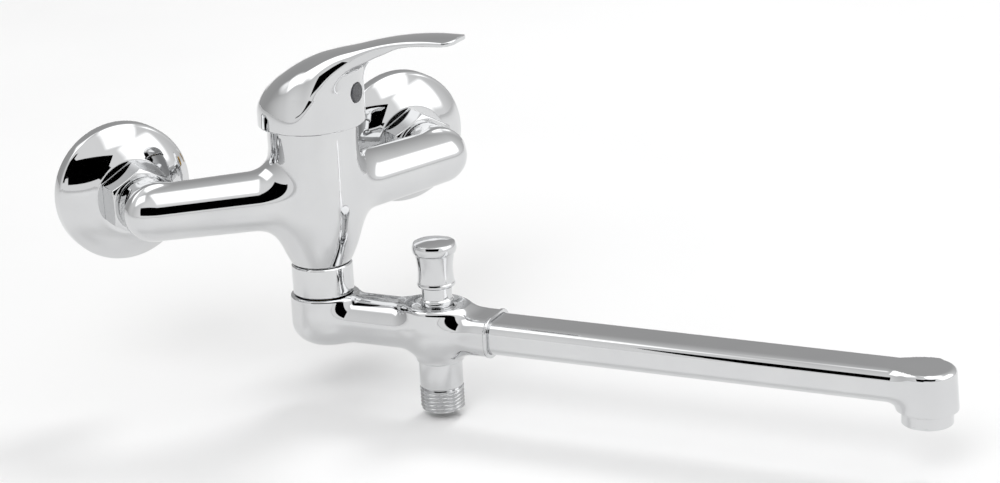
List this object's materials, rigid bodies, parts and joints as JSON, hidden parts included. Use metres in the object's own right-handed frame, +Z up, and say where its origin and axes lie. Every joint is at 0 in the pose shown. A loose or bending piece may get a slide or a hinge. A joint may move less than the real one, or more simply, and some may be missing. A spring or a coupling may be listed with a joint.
{
  "type": "wall mounted bath faucet",
  "caption": "Wall mounted single lever bath mixer: two wall flanges, swept arms, upright body, long swivel spout with aerator and a pull-up shower diverter with threaded outlet.",
  "frame": {"origin": "on the finished wall, midway between the two 1/2 inch pipe outlets", "axes": "+X along the wall to the right, +Y into the wall, +Z up; the faucet stands out towards -Y"},
  "size_m": [0.2988, 0.335, 0.1841],
  "materials": {
    "polished_chrome": "bright polished plating",
    "bare_brass": "turned",
    "plain_steel": "bright",
    "black_rubber": "matte",
    "fibre": "matte fibre",
    "cartridge_plastic": "moulded",
    "disc_ceramic": "lapped",
    "index_plastic": "smooth",
    "aerator_plastic": "moulded"
  },
  "bodies": {
    "root": {"mixer_body": "polished_chrome", "left_wall_flange": "polished_chrome", "right_wall_flange": "polished_chrome", "left_union_nut": "polished_chrome", "right_union_nut": "polished_chrome", "left_s_union": "bare_brass", "right_s_union": "bare_brass", "left_inlet_gasket": "fibre", "right_inlet_gasket": "fibre", "left_inlet_nipple": "bare_brass", "right_inlet_nipple": "bare_brass", "cartridge_body": "cartridge_plastic", "cartridge_base": "cartridge_plastic", "cartridge_port_seals": "black_rubber", "cartridge_fixed_disc": "disc_ceramic", "cartridge_nut": "bare_brass", "swivel_union_nut": "polished_chrome"},
    "turret": {"cartridge_turret": "cartridge_plastic", "lever_pivot_pin": "plain_steel"},
    "lever": {"lever_handle": "polished_chrome", "cartridge_stem": "bare_brass", "lever_set_screw": "plain_steel", "index_button": "index_plastic"},
    "moving_disc": {"cartridge_moving_disc": "disc_ceramic", "cartridge_disc_carrier": "cartridge_plastic"},
    "spout": {"diverter_body": "polished_chrome", "swivel_nipple": "bare_brass", "swivel_o_rings": "black_rubber", "swivel_slip_ring": "cartridge_plastic", "diverter_bonnet": "polished_chrome", "diverter_spindle_seal": "black_rubber", "shower_outlet_nipple": "polished_chrome", "spout_tube": "polished_chrome", "spout_socket_seal": "black_rubber", "aerator_housing": "polished_chrome", "aerator_insert": "aerator_plastic", "aerator_gasket": "black_rubber"},
    "diverter_plunger": {"diverter_knob": "polished_chrome", "diverter_spindle": "bare_brass", "diverter_valve_disc": "black_rubber", "diverter_disc_clip": "plain_steel", "diverter_spring": "plain_steel"}
  },
  "joints": [
    {"name": "lever_turn", "type": "hinge", "parent": "root", "child": "turret", "pos_m": [0, -0.0633, 0.022], "axis": [0, 0, 1], "range_deg": [-84.5, 15.5]},
    {"name": "lever_lift", "type": "hinge", "parent": "turret", "child": "lever", "pos_m": [0, -0.0633, 0.023], "axis": [-0.8241, -0.5664, 0], "range_deg": [0, 22]},
    {"name": "disc_slide", "type": "slide", "parent": "turret", "child": "moving_disc", "axis": [0.5664, -0.8241, 0], "range_m": [0, 0.0042]},
    {"name": "spout_swing", "type": "hinge", "parent": "root", "child": "spout", "pos_m": [0, -0.0633, -0.054], "axis": [0, 0, 1], "range_deg": [-116, 44]},
    {"name": "diverter_pull", "type": "slide", "parent": "spout", "child": "diverter_plunger", "axis": [0, 0, 1], "range_m": [0, 0.0085], "stiffness_N_per_m": 250, "springref_m": -0.012, "deforming": ["diverter_spring"]}
  ],
  "couplings": [
    {"joint": "disc_slide", "follows": "lever_lift", "m_per_rad": 0.01045}
  ]
}
